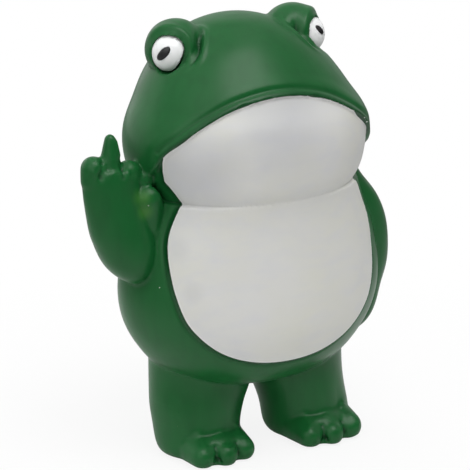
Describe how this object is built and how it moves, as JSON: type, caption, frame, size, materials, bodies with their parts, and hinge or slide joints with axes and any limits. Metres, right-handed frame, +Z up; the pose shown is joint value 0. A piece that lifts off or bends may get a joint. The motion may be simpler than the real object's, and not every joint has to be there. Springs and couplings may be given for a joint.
{
  "type": "frog figurine",
  "caption": "Standing frog figurine: broad domed head with bulging eyes, raised hand, hanging arm, stout legs and a pale belly panel.",
  "frame": {"origin": "centre of the bounding box in plan, on the ground under the sole pads", "axes": "+Z up, the figurine faces -Y, its raised right hand is towards -X"},
  "size_m": [0.1184, 0.0694, 0.1489],
  "materials": {
    "green_paint": "satin-gloss hand painted green over cast resin",
    "white_paint": "satin hand painted off-white over cast resin",
    "eye_white": "glossy white",
    "pupil_black": "glossy near-black",
    "pin_steel": "plain steel dowel",
    "sole_pad": "thin matt non-slip pad"
  },
  "bodies": {
    "root": {"torso_casting": "green_paint", "head_casting": "green_paint", "right_arm_raised": "green_paint", "left_arm_hanging": "green_paint", "right_leg": "green_paint", "left_leg": "green_paint", "throat_panel": "white_paint", "belly_panel": "white_paint", "right_eyeball": "eye_white", "left_eyeball": "eye_white", "right_pupil": "pupil_black", "left_pupil": "pupil_black", "neck_pins": "pin_steel", "arm_pins": "pin_steel", "hip_pins": "pin_steel", "right_sole_pad": "sole_pad", "left_sole_pad": "sole_pad"}
  },
  "joints": []
}
